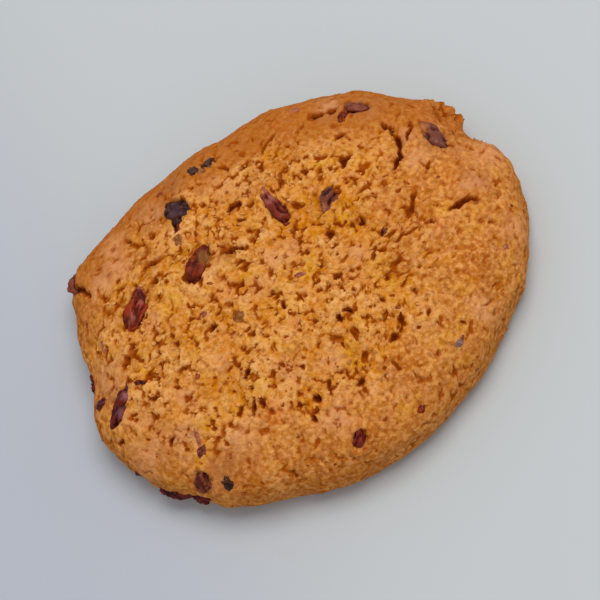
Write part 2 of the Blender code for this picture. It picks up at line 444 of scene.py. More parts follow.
# The larger pits, in millimetres: place seen from above, radius, depth
PITS = (
    (-17.0, 19.4, 0.50, 0.8), (-15.2, 17.5, 0.36, 0.7), (-13.5, 17.3, 0.45, 0.8), (-21.1, 14.8, 0.50, 0.8),
    (-16.3, 10.8, 0.50, 0.9), (-13.0, -0.4, 0.60, 1.0), (-9.5, -1.1, 0.75, 0.6), (-13.2, 2.0, 0.36, 0.6),
    (15.9, 2.7, 0.42, 0.7), (14.0, -2.1, 0.50, 0.6), (20.7, -4.6, 0.45, 0.8), (31.3, -3.4, 0.34, 0.6),
    (30.1, -1.4, 0.34, 0.5), (29.0, 4.8, 0.50, 0.7), (-32.7, -5.1, 0.50, 0.9), (-26.8, -10.0, 0.55, 0.9),
    (-21.4, -3.8, 0.55, 0.6), (-21.6, -6.7, 0.50, 0.6), (-18.4, 0.5, 0.55, 0.9), (-24.0, 4.6, 0.50, 0.8),
    (-20.4, -12.6, 0.45, 0.7), (12.5, 0.8, 0.72, 1.4), (11.3, 0.9, 0.40, 0.8), (7.9, 1.9, 0.60, 0.9),
    (3.8, 1.5, 0.42, 0.8), (3.8, 5.3, 0.36, 0.6), (0.9, 5.8, 0.36, 0.6), (-0.7, 13.9, 0.55, 1.1),
    (14.0, -2.4, 0.50, 0.8), (11.8, -3.7, 0.34, 0.7), (15.7, 2.9, 0.30, 0.5), (5.3, -4.1, 0.42, 0.8),
    (-6.3, 3.0, 0.50, 1.0), (-3.5, -1.2, 0.45, 0.9), (0.4, -4.3, 0.40, 0.6), (-3.0, -3.4, 0.55, 1.0),
    (4.1, -9.5, 0.55, 1.1), (2.4, -9.7, 0.60, 1.1), (9.0, -10.6, 0.42, 0.8), (-0.6, -8.2, 0.42, 0.6),
    (-2.1, 1.8, 0.36, 0.6), (16.6, 14.5, 0.55, 1.0), (9.8, 11.9, 0.55, 0.8), (13.1, 10.4, 0.42, 0.6),
    (13.1, -15.6, 0.34, 0.8), (16.4, -18.8, 0.36, 0.8), (11.0, -16.6, 0.36, 0.7), (13.4, -12.1, 0.50, 0.6),
    (9.1, -10.6, 0.42, 0.9), (8.4, -12.6, 0.40, 0.7), (11.7, -25.1, 0.45, 0.6), (9.9, -25.7, 0.34, 0.5),
    (5.3, -25.1, 0.60, 0.3), (3.6, -18.8, 0.42, 0.6), (11.5, -20.7, 0.36, 0.5), (-12.7, -13.7, 0.50, 0.9),
    (-6.0, -17.2, 0.55, 1.2), (-8.1, -19.4, 0.50, 0.9), (0.3, -18.6, 0.55, 0.9), (2.8, -16.0, 0.95, 0.7),
    (0.6, -17.1, 0.50, 0.7), (-10.9, -5.5, 0.42, 0.7), (-10.5, -15.5, 0.40, 0.6), (-12.4, -15.1, 0.45, 0.6),
    (3.9, -18.7, 0.42, 0.6), (-14.5, -23.3, 0.40, 0.6), (-3.1, -24.2, 0.36, 0.5), (0.0, -24.4, 0.36, 0.5),
    (-6.5, -15.7, 0.36, 0.6), (0.1, -20.2, 0.36, 0.5), (-14.7, -17.9, 0.34, 0.4),
)

# The broken corner, in millimetres: where the torn crumb stands out or is missing, its reach, its height
BROKEN_EDGE = (
    (32.2, 10.0, 4.6, 1.7, 1.0),
    (31.9, 11.3, 5.2, 1.4, 0.6),
    (31.6, 12.4, 5.6, 1.8, 0.7),
    (30.2, 13.8, 6.9, 1.8, 0.6),
    (31.2, 6.8, 7.6, 2.2, -0.9),
    (32.4, 5.2, 6.5, 3.4, -0.6),
    (30.4, 10.2, 8.0, 2.4, -0.7),
)
TORN_STEP_SIZE = 0.8 * MM
TORN_GRAIN_SIZE = 0.6 * MM

# Where the bake has tinted the dough, in millimetres: place seen from above, then reach
TINTED_PLACES = {
    "yellow": (
        (-16.3, 6.8, 2.4), (-15.9, 9.6, 1.8), (-5.4, 2.7, 1.8), (10.7, 2.8, 2.4), (11.3, -5.5, 1.8),
        (2.6, 0.3, 2.4), (-2.2, -4.1, 1.6), (10.3, -9.1, 1.6), (-12.4, -11.2, 1.9), (0.4, -15.1, 2.2),
        (-16.3, -12.3, 1.8), (-20.3, -11.4, 1.6), (-24.3, 1.9, 2.4), (19.4, 3.6, 2.0), (23.3, -3.5, 1.4),
        (14.4, 3.0, 1.4), (12.2, 11.6, 1.6),
    ),
    "red": (
        (10.5, 21.3, 2.8), (10.9, 10.0, 1.6), (-8.4, 13.1, 1.2), (26.2, 0.4, 2.0), (15.8, 0.9, 2.2),
        (21.2, -5.6, 1.2), (32.2, 11.6, 5.0), (-31.2, 0.4, 1.6), (-12.2, -15.1, 1.6), (-12.5, -16.8, 1.8),
        (-3.0, -6.5, 1.2),
    ),
    "brown": (
        (27.5, 5.0, 3.2), (19.5, 0.5, 7.0), (23.5, -11.5, 5.0), (15.1, -6.3, 3.0), (3.6, 15.1, 2.6),
        (-6.3, 8.5, 3.0), (-15.5, 14.0, 3.2), (-17.6, 10.4, 2.2), (-3.0, -25.0, 4.4), (-12.5, -24.5, 4.8),
        (-20.6, -18.8, 4.0), (6.8, -19.8, 3.4), (13.6, 1.2, 2.6), (29.4, -1.8, 3.0), (10.6, 17.2, 2.6),
        (-25.0, 3.4, 2.4), (28.0, 6.2, 2.4),
    ),
    "dull": (
        (27.6, 5.8, 3.0), (23.6, 8.6, 1.8), (17.8, 19.8, 3.0), (22.0, 16.8, 3.0), (29.4, -1.8, 2.6),
        (-12.0, 20.6, 3.4), (-7.0, 23.6, 2.4), (-22.0, 17.0, 2.2), (-30.4, 0.8, 2.2), (-22.8, -17.4, 2.6),
    ),
    "pale": (
        (-20.4, 5.8, 2.2), (-21.6, -6.4, 2.6), (-14.6, -5.3, 2.4), (-30.5, -9.5, 3.0), (-24.4, -10.5, 2.6),
        (-1.8, -14.2, 2.4), (-12.0, 20.8, 2.4), (-19.1, 19.6, 2.6), (17.7, 20.5, 2.0), (2.3, 2.4, 2.4),
        (-4.8, 0.7, 2.4), (-1.6, 17.1, 2.4), (-8.8, 3.2, 2.0), (-19.8, 16.9, 2.6), (-11.8, 20.7, 1.8),
        (-23.4, 15.8, 2.4), (9.4, -3.3, 3.0), (-0.3, 3.1, 2.2), (-28.7, 3.8, 3.0), (-27.8, -5.2, 2.2),
        (-27.5, -8.4, 2.2), (23.7, 5.1, 1.8), (24.9, 9.2, 1.4), (28.3, -2.4, 1.8), (30.1, -10.3, 2.2),
        (33.0, 2.0, 3.6), (19.9, -18.0, 2.0), (-5.0, -21.1, 2.6), (-7.5, -12.1, 2.6), (-17.8, -15.5, 3.0),
    ),
}

# The browner crust: along the foot and on the far side, with a wandering border
TOAST_DIRECTION = 80
TOAST_START = 0.78
TOAST_START_FAR = 0.20
TOAST_SPREAD = 0.26
TOAST_NEAR_SHARE = 0.42
TOAST_WANDER = 0.25
TOAST_WANDER_SIZE = 5.0 * MM

# The crumb's relief: soft swells, clumps with ragged outlines, creases between some of them, hollows
# where some three of them meet, and two sizes of grain. It fades in above the foot.
SWELL_SIZE = 4.5 * MM
SWELL_HEIGHT = 0.42 * MM
CLUMP_SIZE = 1.6 * MM
CLUMP_DOME = 0.20 * MM
CLUMP_STEP = 0.20 * MM
CLUMP_BEND = 0.52 * MM
CLUMP_BEND_SIZE = 1.6 * MM
CLUMP_RAG = 0.24 * MM
CLUMP_RAG_SIZE = 0.50 * MM
CREASE_CUT = 0.32 * MM
CREASE_WIDTH = 0.20
CREASE_PATCHES = (0.00, 0.32)
CREASE_PATCH_SIZE = 1.5 * MM
# Painted shade in the creases
CREASE_SHADE = 0.52
HOLLOW_CUT = 0.52 * MM
HOLLOW_WIDTHS = (0.03, 0.36)
HOLLOW_PATCHES = (0.09, 0.30)
HOLLOW_PATCH_SIZE = 1.3 * MM
# Painted shade in the hollows
HOLLOW_SHADE = 0.85
HOLLOWS_ON_SKIN = 0.55
GRAIN_SIZE = 1.05 * MM
GRAIN_HEIGHT = 0.20 * MM
FINE_GRAIN_SIZE = 0.58 * MM
FINE_GRAIN_HEIGHT = 0.15 * MM
FINE_GRAIN_ON_SKIN = 0.2
EDGE_RIPPLE = 0.24 * MM
EDGE_RIPPLE_SIZE = 1.9 * MM
FOOT_HEIGHTS = (0.4 * MM, 2.5 * MM)
TOP_STEEPNESS = (0.05, 0.35)

# The relief that a crack or a pit takes away, the depth at which a crack or a pit gets its full painted
# shade, how much painted shade a raisin's socket gets, and the range of heights over which the crumb goes
# from painted shade to painted light
CUT_SMOOTHER = 0.6
FULL_SHADE_DEPTH = 0.9 * MM
SOCKET_SHADE = 0.5
SHADE_HEIGHT_RANGE = 1.1 * MM

# How the dough gives way to a raisin, with a ragged edge, and stands up round it in a lip
SOCKET_DEPTH = 1.3 * MM
SOCKET_SIDES = (-0.42 * MM, -0.02 * MM)
SOCKET_RAG = 0.42 * MM
SOCKET_RAG_SIZE = 0.8 * MM
SOCKET_RAG_SHIFT = 0.15 * MM
LIP_RISE = (-0.20 * MM, 0.20 * MM)
LIP_FALL = (0.4 * MM, 1.2 * MM)
LIP_HEIGHT = 0.28 * MM
RAISIN_REACH = 6.0 * MM

# Raisins at the edge that the dough leaves barer
WIDE_SOCKETS = {
    "raisin_near_edge": 0.22 * MM,
    "raisin_corner": 0.25 * MM,
    "raisin_lower_left": 0.12 * MM,
}

# The dough's colours, as the eye reads them; the shaded and lit crumb and skin, the crevice shades, and part
# of the light fleck and grain are painted shade and painted light
DOUGH_COLOURS = {
    "shaded low crumb": (207, 122, 8),
    "lit high crumb": (241, 179, 108),
    "shaded low skin": (187, 110, 24),
    "lit high skin": (217, 145, 82),
    "yellow cloud": (228, 160, 28),
    "pink cloud": (230, 158, 116),
    "yellow": (230, 168, 44),
    "red": (202, 98, 30),
    "brown": (178, 96, 26),
    "light fleck and highlight": (238, 168, 90),
    "dark fleck": (142, 70, 6),
    "light grain and glint": (246, 196, 132),
    "dark grain": (186, 92, 4),
    "speck": (154, 72, 24),
    "toast": (172, 90, 20),
    "dull": (174, 110, 64),
    "pale": (226, 158, 108),
    "painted_crevice_shade": (158, 70, 0),
    "deep painted crevice shade": (94, 30, 0),
}


def outline_radius(angle):
    """The dough's radius at its girth in one direction."""
    radius = 1 / math.hypot(math.cos(angle) / (OVAL_LENGTH / 2), math.sin(angle) / (OVAL_WIDTH / 2))
    for direction, spread, height in OUTLINE_LOBES:
        away = (math.degrees(angle) - direction + 180) % 360 - 180
        radius += height * math.exp(-((away / spread) ** 2))
    return radius


def section(way):
    """Share of the girth's radius, and height, from a way of 0, the top's middle, to 1, the base's edge."""
    if way < TOP_WAY:
        share = math.sin(math.pi / 2 * way / TOP_WAY)
        rise = (1 - share**SHOULDER_POWER) ** (1 / SHOULDER_POWER)
        return share, GIRTH_HEIGHT + rise * (HEIGHT - GIRTH_HEIGHT)
    turn = math.pi / 2 * min(1, (way - TOP_WAY) / (1 - TOP_WAY))
    return BASE_SHARE + (1 - BASE_SHARE) * math.cos(turn), GIRTH_HEIGHT * (1 - math.sin(turn))


def even_ways(count):
    """Ways that divide the section, from the middle of the top to the base, into even lengths."""
    steps = [index / SECTION_STEPS for index in range(SECTION_STEPS + 1)]
    points = [section(step) for step in steps]
    lengths = [0.0]
    for (share, height), (last_share, last_height) in zip(points[1:], points):
        out = (share - last_share) * OVAL_WIDTH / 2
        lengths.append(lengths[-1] + math.hypot(out, height - last_height))
    return np.interp(np.linspace(0, lengths[-1], count), lengths, steps)


def dough_point(angle, way):
    """A point of the dough's surface before its lumps."""
    share, height = section(way)
    radius = share * outline_radius(angle)
    return Vector((radius * math.cos(angle), radius * math.sin(angle), height))


def rolled_out_dough():
    """The plain form, open below: a square net drawn over the top and the wall, its squares made rings."""
    shape = bmesh.new()
    bmesh.ops.create_grid(shape, x_segments=TOP_SQUARES, y_segments=TOP_SQUARES, size=1)
    ways = even_ways(TOP_SQUARES // 2 + 1)
    for vertex in shape.verts:
        across, up = vertex.co.x, vertex.co.y
        ring = max(abs(across), abs(up))
        if ring < 1 / TOP_SQUARES:
            vertex.co = dough_point(0, 0)
            continue
        if abs(across) >= abs(up):
            angle = math.pi / 4 * up / across + (math.pi if across < 0 else 0)
        else:
            angle = math.pi / 2 - math.pi / 4 * across / up + (math.pi if up < 0 else 0)
        angle = (angle + math.pi) % (2 * math.pi) - math.pi
        vertex.co = dough_point(angle, ways[round(ring * TOP_SQUARES / 2)])
    shape.normal_update()
    return shape


def raise_lumps(shape):
    """Adds the solid's lumps and hollow, centres the whole as the solid is, and gives the hollow's place."""
    chip_middle = dough_point(math.radians(CHIP_DIRECTION), CHIP_WAY)
    for vertex in shape.verts:
        chip = CHIP_DEPTH * math.exp(-(((vertex.co - chip_middle).length / CHIP_RADIUS) ** 2))
        lump = LUMP_HEIGHT * noise.noise(vertex.co / LUMP_SIZE) * min(1, vertex.co.z / LUMP_FADE)
        vertex.co += vertex.normal * (lump - chip)
    xs = [vertex.co.x for vertex in shape.verts]
    ys = [vertex.co.y for vertex in shape.verts]
    middle = Vector(((min(xs) + max(xs)) / 2, (min(ys) + max(ys)) / 2, 0))
    bmesh.ops.translate(shape, vec=-middle, verts=shape.verts)
    shape.normal_update()
    return chip_middle - middle


def crack_guides():
    """The cracks as closely spaced flat points to measure distance from, each with its width and depth."""
    stations = []
    for width, depth, *points in CRACKS:
        steps = [0.0]
        for (x, y), (next_x, next_y) in zip(points, points[1:]):
            steps.append(steps[-1] + math.hypot(next_x - x, next_y - y))
        for step in np.arange(0, steps[-1], CRACK_SPACING):
            x, y = (np.interp(step, steps, [point[axis] for point in points]) for axis in (0, 1))
            taper = min(1, CRACK_END_SHARE + CRACK_TAPER * min(step, steps[-1] - step))
            stations.append((Vector((x, y, 0)) * MM, width * taper * MM, depth * taper * MM))
    tree = kdtree.KDTree(len(stations))
    for index, (along, _, _) in enumerate(stations):
        tree.insert(along, index)
    tree.balance()
    return tree, stations


def crack_depth(flat, tree, stations):
    """How deep the nearest crack is at a place, with wandering sides."""
    _, index, distance = tree.find(flat)
    _, width, depth = stations[index]
    if distance > width * CRACK_REACH:
        return 0
    nicks = noise.noise(flat / CRACK_NICK_SIZE)
    bays = noise.noise(flat / CRACK_BAY_SIZE + Vector((4, 2, 9)))
    ragged = max(0.7, 1 + 0.5 * nicks + 0.3 * bays)
    return depth * min(1, ragged) * (1 - ease(distance, 0.15 * width * ragged, 0.80 * width * ragged))


def pit_depth(flat):
    """How deep the larger pits are at a place."""
    deepest = 0
    for x, y, radius, depth in PITS:
        away = math.hypot(flat.x / MM - x, flat.y / MM - y)
        if away < radius * PIT_REACH:
            ragged = max(0.6, 0.95 + 0.9 * noise.noise(flat / PIT_RAG_SIZE))
            side = ease(away, 0.25 * radius * ragged, 1.3 * radius * ragged)
            deepest = max(deepest, depth * MM * (1 - side))
    return deepest


def crumb_share(point, chip_middle):
    """1 on the open crumb, down to about RIM_SHARE on the skin of the edge."""
    x, y = ((place - middle) / reach for place, middle, reach in zip(point, CRUMB_MIDDLE, CRUMB_REACH))
    out = math.hypot(x, y) + BORDER_WANDER * noise.noise(point / BORDER_WANDER_SIZE)
    near = ease(math.cos(math.atan2(y, x) - math.radians(NEAR_SIDE_DIRECTION)), 0.2, 0.9)
    rim = RIM_SHARE * (1 - NEAR_SIDE_SMOOTHER * near)
    share = 1 - (1 - rim) * ease(out, *CRUMB_BORDER)
    for patch_x, patch_y, radius in SKIN_PATCHES:
        away = math.hypot(point.x / MM - patch_x, point.y / MM - patch_y) / radius
        share = min(share, rim + (1 - rim) * ease(away, 0.5, 1.1))
    broken = 1 - ease((point - chip_middle).length, 0.5 * CHIP_RADIUS, CHIP_RADIUS)
    return max(share, broken)


def grains(place):
    """Round grains packed together, some standing higher than others, 0 between them."""
    (near, next_near, _, _), (middle, _, _, _) = noise.voronoi(place)
    gap = ease(next_near - near, 0.0, 0.45)
    return gap * (0.45 + 0.55 * noise.cell(middle * 37)) * (1 - 0.5 * near * near)


def crumb_relief(point, share):
    """The height of the crumb, and how much painted shade its creases and hollows get."""
    drawn = point + noise.noise_vector(point / CLUMP_BEND_SIZE) * CLUMP_BEND
    drawn += noise.noise_vector(point / CLUMP_RAG_SIZE) * CLUMP_RAG
    swell = noise.noise(point / SWELL_SIZE + Vector((3, 7, 1)))
    (near, second, third, _), (middle, _, _, _) = noise.voronoi(drawn / CLUMP_SIZE)
    patch = ease(noise.noise(point / CREASE_PATCH_SIZE + Vector((1, 4, 8))), *CREASE_PATCHES)
    crease = (1 - ease(second - near, 0.0, CREASE_WIDTH)) * patch
    patch = ease(noise.noise(point / HOLLOW_PATCH_SIZE + Vector((8, 2, 5))), *HOLLOW_PATCHES)
    hollow = (1 - ease(third - near, *HOLLOW_WIDTHS)) * patch
    step = (noise.cell(middle * 23) - 0.5) * ease(second - near, 0.0, 0.5)
    height = SWELL_HEIGHT * swell + CLUMP_DOME * (0.35 - near * near) + CLUMP_STEP * step
    height += GRAIN_HEIGHT * (grains(drawn / GRAIN_SIZE) - 0.5)
    fine = grains(drawn / FINE_GRAIN_SIZE + Vector((5, 5, 5))) - 0.5
    fine_share = FINE_GRAIN_ON_SKIN + (1 - FINE_GRAIN_ON_SKIN) * share
    height = height * share + FINE_GRAIN_HEIGHT * fine * fine_share
    open_share = ease(share, 0.3, 0.85)
    pocked = min(1, 4 * share) * (HOLLOWS_ON_SKIN + (1 - HOLLOWS_ON_SKIN) * open_share)
    height -= max(CREASE_CUT * crease * share, HOLLOW_CUT * hollow * pocked)
    # Painted shade in the creases and hollows
    crease_shade = max(CREASE_SHADE * crease * open_share, HOLLOW_SHADE * hollow * pocked)
    return height, crease_shade


def raisin_distance(point, lie):
    """How far a place is from the plain form of a raisin, below 0 inside it."""
    middle, axes, half = lie
    inside = [(point - middle).dot(axis) for axis in axes]
    scaled = math.hypot(*(part / size for part, size in zip(inside, half)))
    slope = math.hypot(*(part / size**2 for part, size in zip(inside, half)))
    return scaled * (scaled - 1) / max(slope, 1.0)


def raisin_socket(point, lies):
    """How far the dough gives way to the nearest raisin, and how far it stands up in a lip round it."""
    distance = min(raisin_distance(point, lie) - wider for lie, wider in lies)
    ragged = SOCKET_RAG * noise.noise(point / SOCKET_RAG_SIZE) + SOCKET_RAG_SHIFT
    sunk = SOCKET_DEPTH * (1 - ease(distance + ragged, *SOCKET_SIDES))
    lip = LIP_HEIGHT * ease(distance, *LIP_RISE) * (1 - ease(distance, *LIP_FALL))
    return sunk, lip


def broken_edge(point):
    """The torn crumb of the broken corner: jagged steps, and one tooth left standing at its lower end."""
    share = 0
    for x, y, z, reach, height in BROKEN_EDGE:
        away = (point - Vector((x, y, z)) * MM).length / (reach * MM)
        share += height * MM * (1 - ease(away, 0.25, 1.0))
    jag = noise.cell(point / TORN_STEP_SIZE) - 0.5 + noise.noise(point / TORN_GRAIN_SIZE)
    return share * (1 + 0.5 * jag)


def toast_share(point):
    """1 where the edge has browned most, along the foot and on the far side."""
    out = math.hypot(point.x / (OVAL_LENGTH / 2), point.y / (OVAL_WIDTH / 2))
    out += TOAST_WANDER * noise.noise(point / TOAST_WANDER_SIZE)
    far = ease(math.cos(math.atan2(point.y, point.x) - math.radians(TOAST_DIRECTION)), 0.0, 0.9)
    start = TOAST_START - TOAST_START_FAR * far
    return ease(out, start, start + TOAST_SPREAD) * (TOAST_NEAR_SHARE + (1 - TOAST_NEAR_SHARE) * far)


def tint_shares(flat):
    """How far each tint shows at a place."""
    shares = {}
    for tint, places in TINTED_PLACES.items():
        nearest = min(math.hypot(flat.x / MM - x, flat.y / MM - y) / reach for x, y, reach in places)
        shares[tint] = 1 - ease(nearest, 0.0, 1.4)
    return shares


def bake_surface(shape, chip_middle):
    """Moves each point of the plain form to the baked surface; gives the marks that the finish reads."""
    tree, stations = crack_guides()
    lies = [(lie_of(node), WIDE_SOCKETS.get(node, 0)) for node in RAISIN_KINDS]
    marks = {name: [] for name in ("painted_crevice_shade", "crumb", "painted_relief_shade", "toast", *TINTED_PLACES)}
    moves = []
    for vertex in shape.verts:
        point = vertex.co
        flat = Vector((point.x, point.y, 0))
        above = ease(point.z, *FOOT_HEIGHTS)
        share = crumb_share(point, chip_middle) * above
        height, crease_shade = crumb_relief(point, share)
        height *= above
        on_top = ease(vertex.normal.z, *TOP_STEEPNESS)
        stray = noise.noise_vector(point / STRAY_SIZE) * STRAY
        stray += noise.noise_vector(point / FINE_STRAY_SIZE) * FINE_STRAY
        stray.z = 0
        crack = crack_depth(flat + stray, tree, stations)
        cut = max(crack, pit_depth(flat + stray * PIT_STRAY)) * on_top
        near = [lie for lie in lies if (point - lie[0][0]).length < RAISIN_REACH]
        sunk, lip = raisin_socket(point, near) if near else (0, 0)
        ripple = EDGE_RIPPLE * noise.noise(point / EDGE_RIPPLE_SIZE) * (1 - on_top) * above
        move = (height + ripple) * (1 - CUT_SMOOTHER * min(1, cut / MM)) - cut + lip - sunk
        move += broken_edge(point)
        moves.append(point + vertex.normal * move)
        # Painted shade in cracks, pits, creases, hollows and raisin sockets, deeper is darker
        painted_crevice_shade = max(crease_shade, cut / FULL_SHADE_DEPTH, SOCKET_SHADE * sunk / SOCKET_DEPTH)
        marks["painted_crevice_shade"].append(min(1, painted_crevice_shade))
        marks["crumb"].append(share)
        # Painted shade and light: low crumb is painted darker, high crumb lighter
        marks["painted_relief_shade"].append(max(0, min(1, 0.5 + height / SHADE_HEIGHT_RANGE)))
        marks["toast"].append(toast_share(point))
        for tint, tint_share in tint_shares(flat + stray * TINT_STRAY).items():
            marks[tint].append(tint_share)
    for vertex, place in zip(shape.verts, moves):
        vertex.co = place
        vertex.co.z = max(0, place.z)
    return marks


def close_base(shape):
    """Closes the underside with flat rings, each with fewer points than the last."""
    outer = [edge for edge in shape.edges if edge.is_boundary]
    for share, count in BASE_RINGS:
        ring = bmesh.ops.create_circle(shape, segments=count, radius=1, cap_ends=False)["verts"]
        for vertex in ring:
            angle = math.atan2(vertex.co.y, vertex.co.x)
            vertex.co = dough_point(angle, 1) * share
        inner = list({edge for vertex in ring for edge in vertex.link_edges})
        bmesh.ops.bridge_loops(shape, edges=outer + inner)
        outer = inner
    bmesh.ops.contextual_create(shape, geom=outer)


def dough_finish():
    """Baked short dough, with painted light on its high crumb, painted shade in its hollows, and the darkest
    painted shade in its cracks, pits, creases and sockets.
    """
    finish = Finish("baked_dough")
    shades = {name: eye_colour(*shade) for name, shade in DOUGH_COLOURS.items()}
    crumb = finish.mark("crumb")
    mottle = finish.grain(0.9 * MM, 4.0, 0.65)
    # Painted shade in the hollows and painted light on the high crumb, with a random mottle mixed in
    painted_relief_shade = finish.rise(finish.mark("painted_relief_shade") + 1.7 * mottle, 0.90, 1.80)
    colour = finish.blend(painted_relief_shade, shades["shaded low crumb"], shades["lit high crumb"])
    skin = finish.blend(painted_relief_shade, shades["shaded low skin"], shades["lit high skin"])
    colour = finish.blend(finish.rise(crumb, 0.40, 0.90), skin, colour)

    yellow = finish.rise(finish.grain(2.6 * MM, 3.0), 0.50, 0.64)
    colour = finish.blend(yellow * 0.28, colour, shades["yellow cloud"])
    pink = finish.rise(finish.grain(2.1 * MM, 3.0), 0.54, 0.66)
    colour = finish.blend(pink * 0.18, colour, shades["pink cloud"])
    uneven = 0.35 + 0.65 * finish.rise(finish.grain(1.3 * MM, 3.0), 0.38, 0.60)
    for tint, strength in (("yellow", 0.55), ("red", 0.70), ("brown", 0.82)):
        colour = finish.blend(finish.mark(tint) * uneven * strength, colour, shades[tint])

    fleck = finish.grain(0.72 * MM, 2.5)
    strength = 0.60 - 0.16 * crumb
    # Pale flecks: partly real pale crumb, partly painted highlights on the crumb
    colour = finish.blend(finish.rise(fleck, 0.51, 0.65) * strength, colour, shades["light fleck and highlight"])
    colour = finish.blend(finish.rise(fleck, 0.49, 0.34) * strength, colour, shades["dark fleck"])
    each_grain = finish.cells(0.46 * MM, output="Color")
    # Pale grains: partly real, partly painted glints
    colour = finish.blend(finish.rise(each_grain, 0.68, 0.74) * 0.14, colour, shades["light grain and glint"])
    colour = finish.blend(finish.rise(each_grain, 0.30, 0.24) * 0.16, colour, shades["dark grain"])
    speck = finish.rise(finish.cells(1.2 * MM), 0.30, 0.12)
    speck = speck * finish.rise(finish.grain(3.0 * MM), 0.40, 0.52)
    colour = finish.blend(speck * 0.40, colour, shades["speck"])

    colour = finish.blend(finish.mark("toast") * 0.70, colour, shades["toast"])
    for tint, strength in (("dull", 0.70), ("pale", 0.62)):
        colour = finish.blend(finish.mark(tint) * uneven * strength, colour, shades[tint])
    # Painted shade: dark brown in the cracks, pits, creases, hollows and sockets
    painted_crevice_shade = finish.mark("painted_crevice_shade")
    colour = finish.blend(finish.rise(painted_crevice_shade, 0.02, 0.50), colour, shades["painted_crevice_shade"])
    colour = finish.blend(finish.rise(painted_crevice_shade, 0.46, 1.04), colour, shades["deep painted crevice shade"])
    finish.paint("Base Color", colour)
    finish.paint("Roughness", 0.85)
    finish.paint("Specular IOR Level", 0.06)

    bumps = 1.5 * finish.grain(0.28 * MM, 3.0, 0.6) - finish.cells(0.42 * MM, "SMOOTH_F1")
    finish.relief(bumps * (0.25 + 0.75 * crumb), 0.16 * MM)
    return finish.material


dough_shape = rolled_out_dough()
broken_corner = raise_lumps(dough_shape)
dough_marks = bake_surface(dough_shape, broken_corner)
close_base(dough_shape)
baked_dough = dough_finish()
dough = new_piece("dough", dough_shape, baked_dough)
for mark_name, mark_values in dough_marks.items():
    base_values = [BASE_MARK] * (len(dough.data.vertices) - len(mark_values))
    add_marks(dough.data, mark_name, mark_values + base_values)
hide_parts("shortbread")

# ---------------------------------------------------------------------------------------------
# The bits of fruit. Skin and pulp torn off the raisins in the mixing, baked flat into the dough's
# surface. Those that show plainly have their own places; the rest are strewn.

# Place in millimetres, length, width, thickness, heading in degrees, then the kind of skin
FLECKS = (
    ((-3.5, 22.6, 12.0), 2.0, 1.3, 0.35, -79, "burnt"),
    ((-1.2, 22.5, 12.0), 2.3, 1.3, 0.35, 18, "burnt"),
    ((-2.5, 21.9, 12.3), 1.2, 0.9, 0.30, 0, "tan"),
    ((-23.0, -19.0, 8.9), 2.0, 1.6, 0.40, 80, "burnt"),
    ((-30.4, -13.9, 3.9), 5.0, 1.8, 0.90, -48, "dark"),
    ((-27.4, -16.8, 4.0), 3.0, 1.8, 0.80, -35, "dark"),
    ((-32.0, 6.1, 6.1), 3.0, 1.4, 0.60, 75, "dark"),
    ((-32.3, 1.5, 9.0), 2.6, 1.6, 0.40, 0, "dark"),
    ((-33.4, -8.6, 4.4), 1.2, 1.0, 0.50, 0, "dark"),
    ((-25.8, -0.6, 12.7), 1.8, 0.7, 0.20, -31, "dark"),
    ((-23.1, -12.0, 11.8), 2.2, 0.7, 0.20, 66, "lilac"),
    ((-23.6, -13.6, 11.2), 1.9, 1.2, 0.30, 30, "dusty"),
    ((14.5, -20.7, 10.0), 1.5, 1.2, 0.20, 10, "grey"),
    ((15.3, -20.3, 10.0), 0.9, 0.6, 0.20, 30, "dusty"),
    ((14.0, -2.3, 14.5), 1.3, 1.1, 0.25, 50, "dusty"),
    ((1.2, -1.0, 15.1), 1.6, 0.7, 0.15, -20, "lilac"),
    ((-13.1, 2.1, 14.7), 1.0, 0.8, 0.15, 20, "lilac"),
    ((-9.3, -1.1, 15.0), 1.8, 1.4, 0.25, 40, "tan"),
    ((-10.6, 14.2, 13.8), 1.6, 1.3, 0.25, 40, "tan"),
    ((-9.2, 17.1, 13.4), 2.4, 1.6, 0.40, 60, "black"),
    ((-9.9, 15.9, 13.5), 1.5, 0.8, 0.30, 62, "brown"),
    ((5.2, -25.4, 8.8), 1.3, 1.0, 0.20, 30, "brown"),
    ((27.5, -12.2, 9.5), 1.0, 0.8, 0.15, 0, "lilac"),
    ((27.9, 5.4, 11.4), 1.7, 0.9, 0.20, -20, "tan"),
    ((27.4, -5.0, 11.6), 0.8, 0.6, 0.15, 30, "speck"),
    ((-27.8, 8.0, 10.7), 1.8, 0.6, 0.15, 60, "lilac"),
    ((-28.0, 12.8, 9.3), 1.0, 0.6, 0.15, 80, "speck"),
    ((-9.3, 23.4, 10.5), 1.2, 1.0, 0.20, 0, "speck"),
    ((19.2, 17.5, 11.7), 3.0, 1.5, 0.30, 22, "brown"),
    ((13.5, 22.6, 11.0), 1.3, 1.0, 0.20, 0, "lilac"),
)
FLECK_SINK = 0.12
FLECK_FOLD_SPACING = 0.6 * MM
LONG_FLECK = 1.5 * MM

# How far above and below its place a fleck looks for the surface, in millimetres
DRAPE_START = 3
DRAPE_REACH = 8

# The strewn ones: how many, their lengths in millimetres, their thickness, and their room beside a raisin
STREW_SEED = 4
STREWN_FLECKS = 36
FIRST_STREWN_SEED = 40
STREWN_FLECK_LENGTHS = (0.4, 0.9)
STREWN_FLECK_THICKNESS = 0.15 * MM
STREWN_FLECK_ROOM = 0.8 * MM


def outward_at(point):
    """The direction away from the dough at a place on it, as if it were a plain dome."""
    along = point.x / (OVAL_LENGTH / 2) ** 2
    across = point.y / (OVAL_WIDTH / 2) ** 2
    rise = (point.z - GIRTH_HEIGHT) / (HEIGHT - GIRTH_HEIGHT) ** 2
    return Vector((along, across, rise)).normalized()


